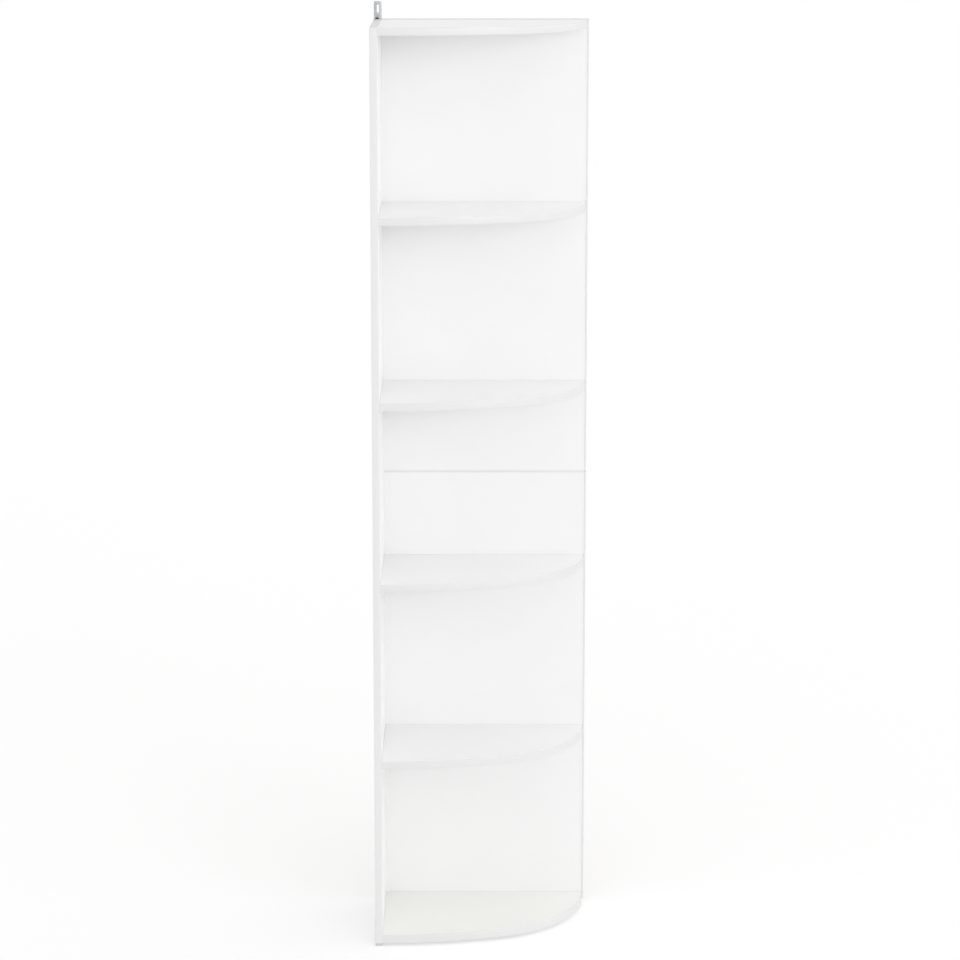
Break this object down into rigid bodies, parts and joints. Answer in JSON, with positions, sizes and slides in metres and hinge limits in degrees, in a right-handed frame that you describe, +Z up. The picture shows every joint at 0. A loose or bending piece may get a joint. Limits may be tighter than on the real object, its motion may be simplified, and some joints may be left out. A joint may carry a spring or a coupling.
{
  "type": "corner shelf unit",
  "caption": "Tall open corner shelf unit with one full-height side panel, a thin back and boards with a rounded quarter-oval plan.",
  "frame": {"origin": "on the floor, at the middle of the unit's width and depth", "axes": "+Z up, +Y to the wall behind the unit, +X to the right from the side panel to the open end"},
  "size_m": [0.55, 0.35, 2.41],
  "materials": {
    "white_melamine": "white melamine-faced chipboard, satin",
    "white_back_sheet": "white lacquered hardboard, satin",
    "white_edge_band": "white ABS edge band, satin",
    "grey_trim": "pale grey extruded plastic",
    "zinc_steel": "zinc-plated pressed steel",
    "black_steel": "black phosphated steel",
    "zinc_casting": "zinc die casting",
    "beech": "bare fluted beech",
    "grey_plastic": "moulded pale grey plastic"
  },
  "bodies": {
    "root": {"side_panel": "white_melamine", "side_panel_front_band": "white_edge_band", "side_panel_top_band": "white_edge_band", "bottom_panel": "white_melamine", "bottom_panel_edge_band": "white_edge_band", "shelf_1": "white_melamine", "shelf_1_edge_band": "white_edge_band", "shelf_2": "white_melamine", "shelf_2_edge_band": "white_edge_band", "shelf_3": "white_melamine", "shelf_3_edge_band": "white_edge_band", "shelf_4": "white_melamine", "shelf_4_edge_band": "white_edge_band", "top_panel": "white_melamine", "top_panel_edge_band": "white_edge_band", "back_sheet_lower": "white_back_sheet", "back_sheet_upper": "white_back_sheet", "back_side_trim_lower": "grey_trim", "back_side_trim_upper": "grey_trim", "back_joint_strip": "grey_trim", "back_top_trim": "grey_trim", "bottom_panel_cam_lock_front": "zinc_casting", "bottom_panel_cam_lock_rear": "zinc_casting", "bottom_panel_cam_bolt_front": "zinc_steel", "bottom_panel_cam_bolt_rear": "zinc_steel", "bottom_panel_dowel": "beech", "shelf_1_cam_lock_front": "zinc_casting", "shelf_1_cam_lock_rear": "zinc_casting", "shelf_1_cam_bolt_front": "zinc_steel", "shelf_1_cam_bolt_rear": "zinc_steel", "shelf_1_dowel": "beech", "shelf_2_cam_lock_front": "zinc_casting", "shelf_2_cam_lock_rear": "zinc_casting", "shelf_2_cam_bolt_front": "zinc_steel", "shelf_2_cam_bolt_rear": "zinc_steel", "shelf_2_dowel": "beech", "shelf_3_cam_lock_front": "zinc_casting", "shelf_3_cam_lock_rear": "zinc_casting", "shelf_3_cam_bolt_front": "zinc_steel", "shelf_3_cam_bolt_rear": "zinc_steel", "shelf_3_dowel": "beech", "shelf_4_cam_lock_front": "zinc_casting", "shelf_4_cam_lock_rear": "zinc_casting", "shelf_4_cam_bolt_front": "zinc_steel", "shelf_4_cam_bolt_rear": "zinc_steel", "shelf_4_dowel": "beech", "top_panel_cam_lock_front": "zinc_casting", "top_panel_cam_lock_rear": "zinc_casting", "top_panel_cam_bolt_front": "zinc_steel", "top_panel_cam_bolt_rear": "zinc_steel", "top_panel_dowel": "beech", "wall_bracket": "zinc_steel", "bracket_screw": "black_steel", "glide_side_front": "grey_plastic", "glide_side_rear": "grey_plastic", "glide_board_front": "grey_plastic", "glide_board_rear": "grey_plastic"}
  },
  "joints": []
}
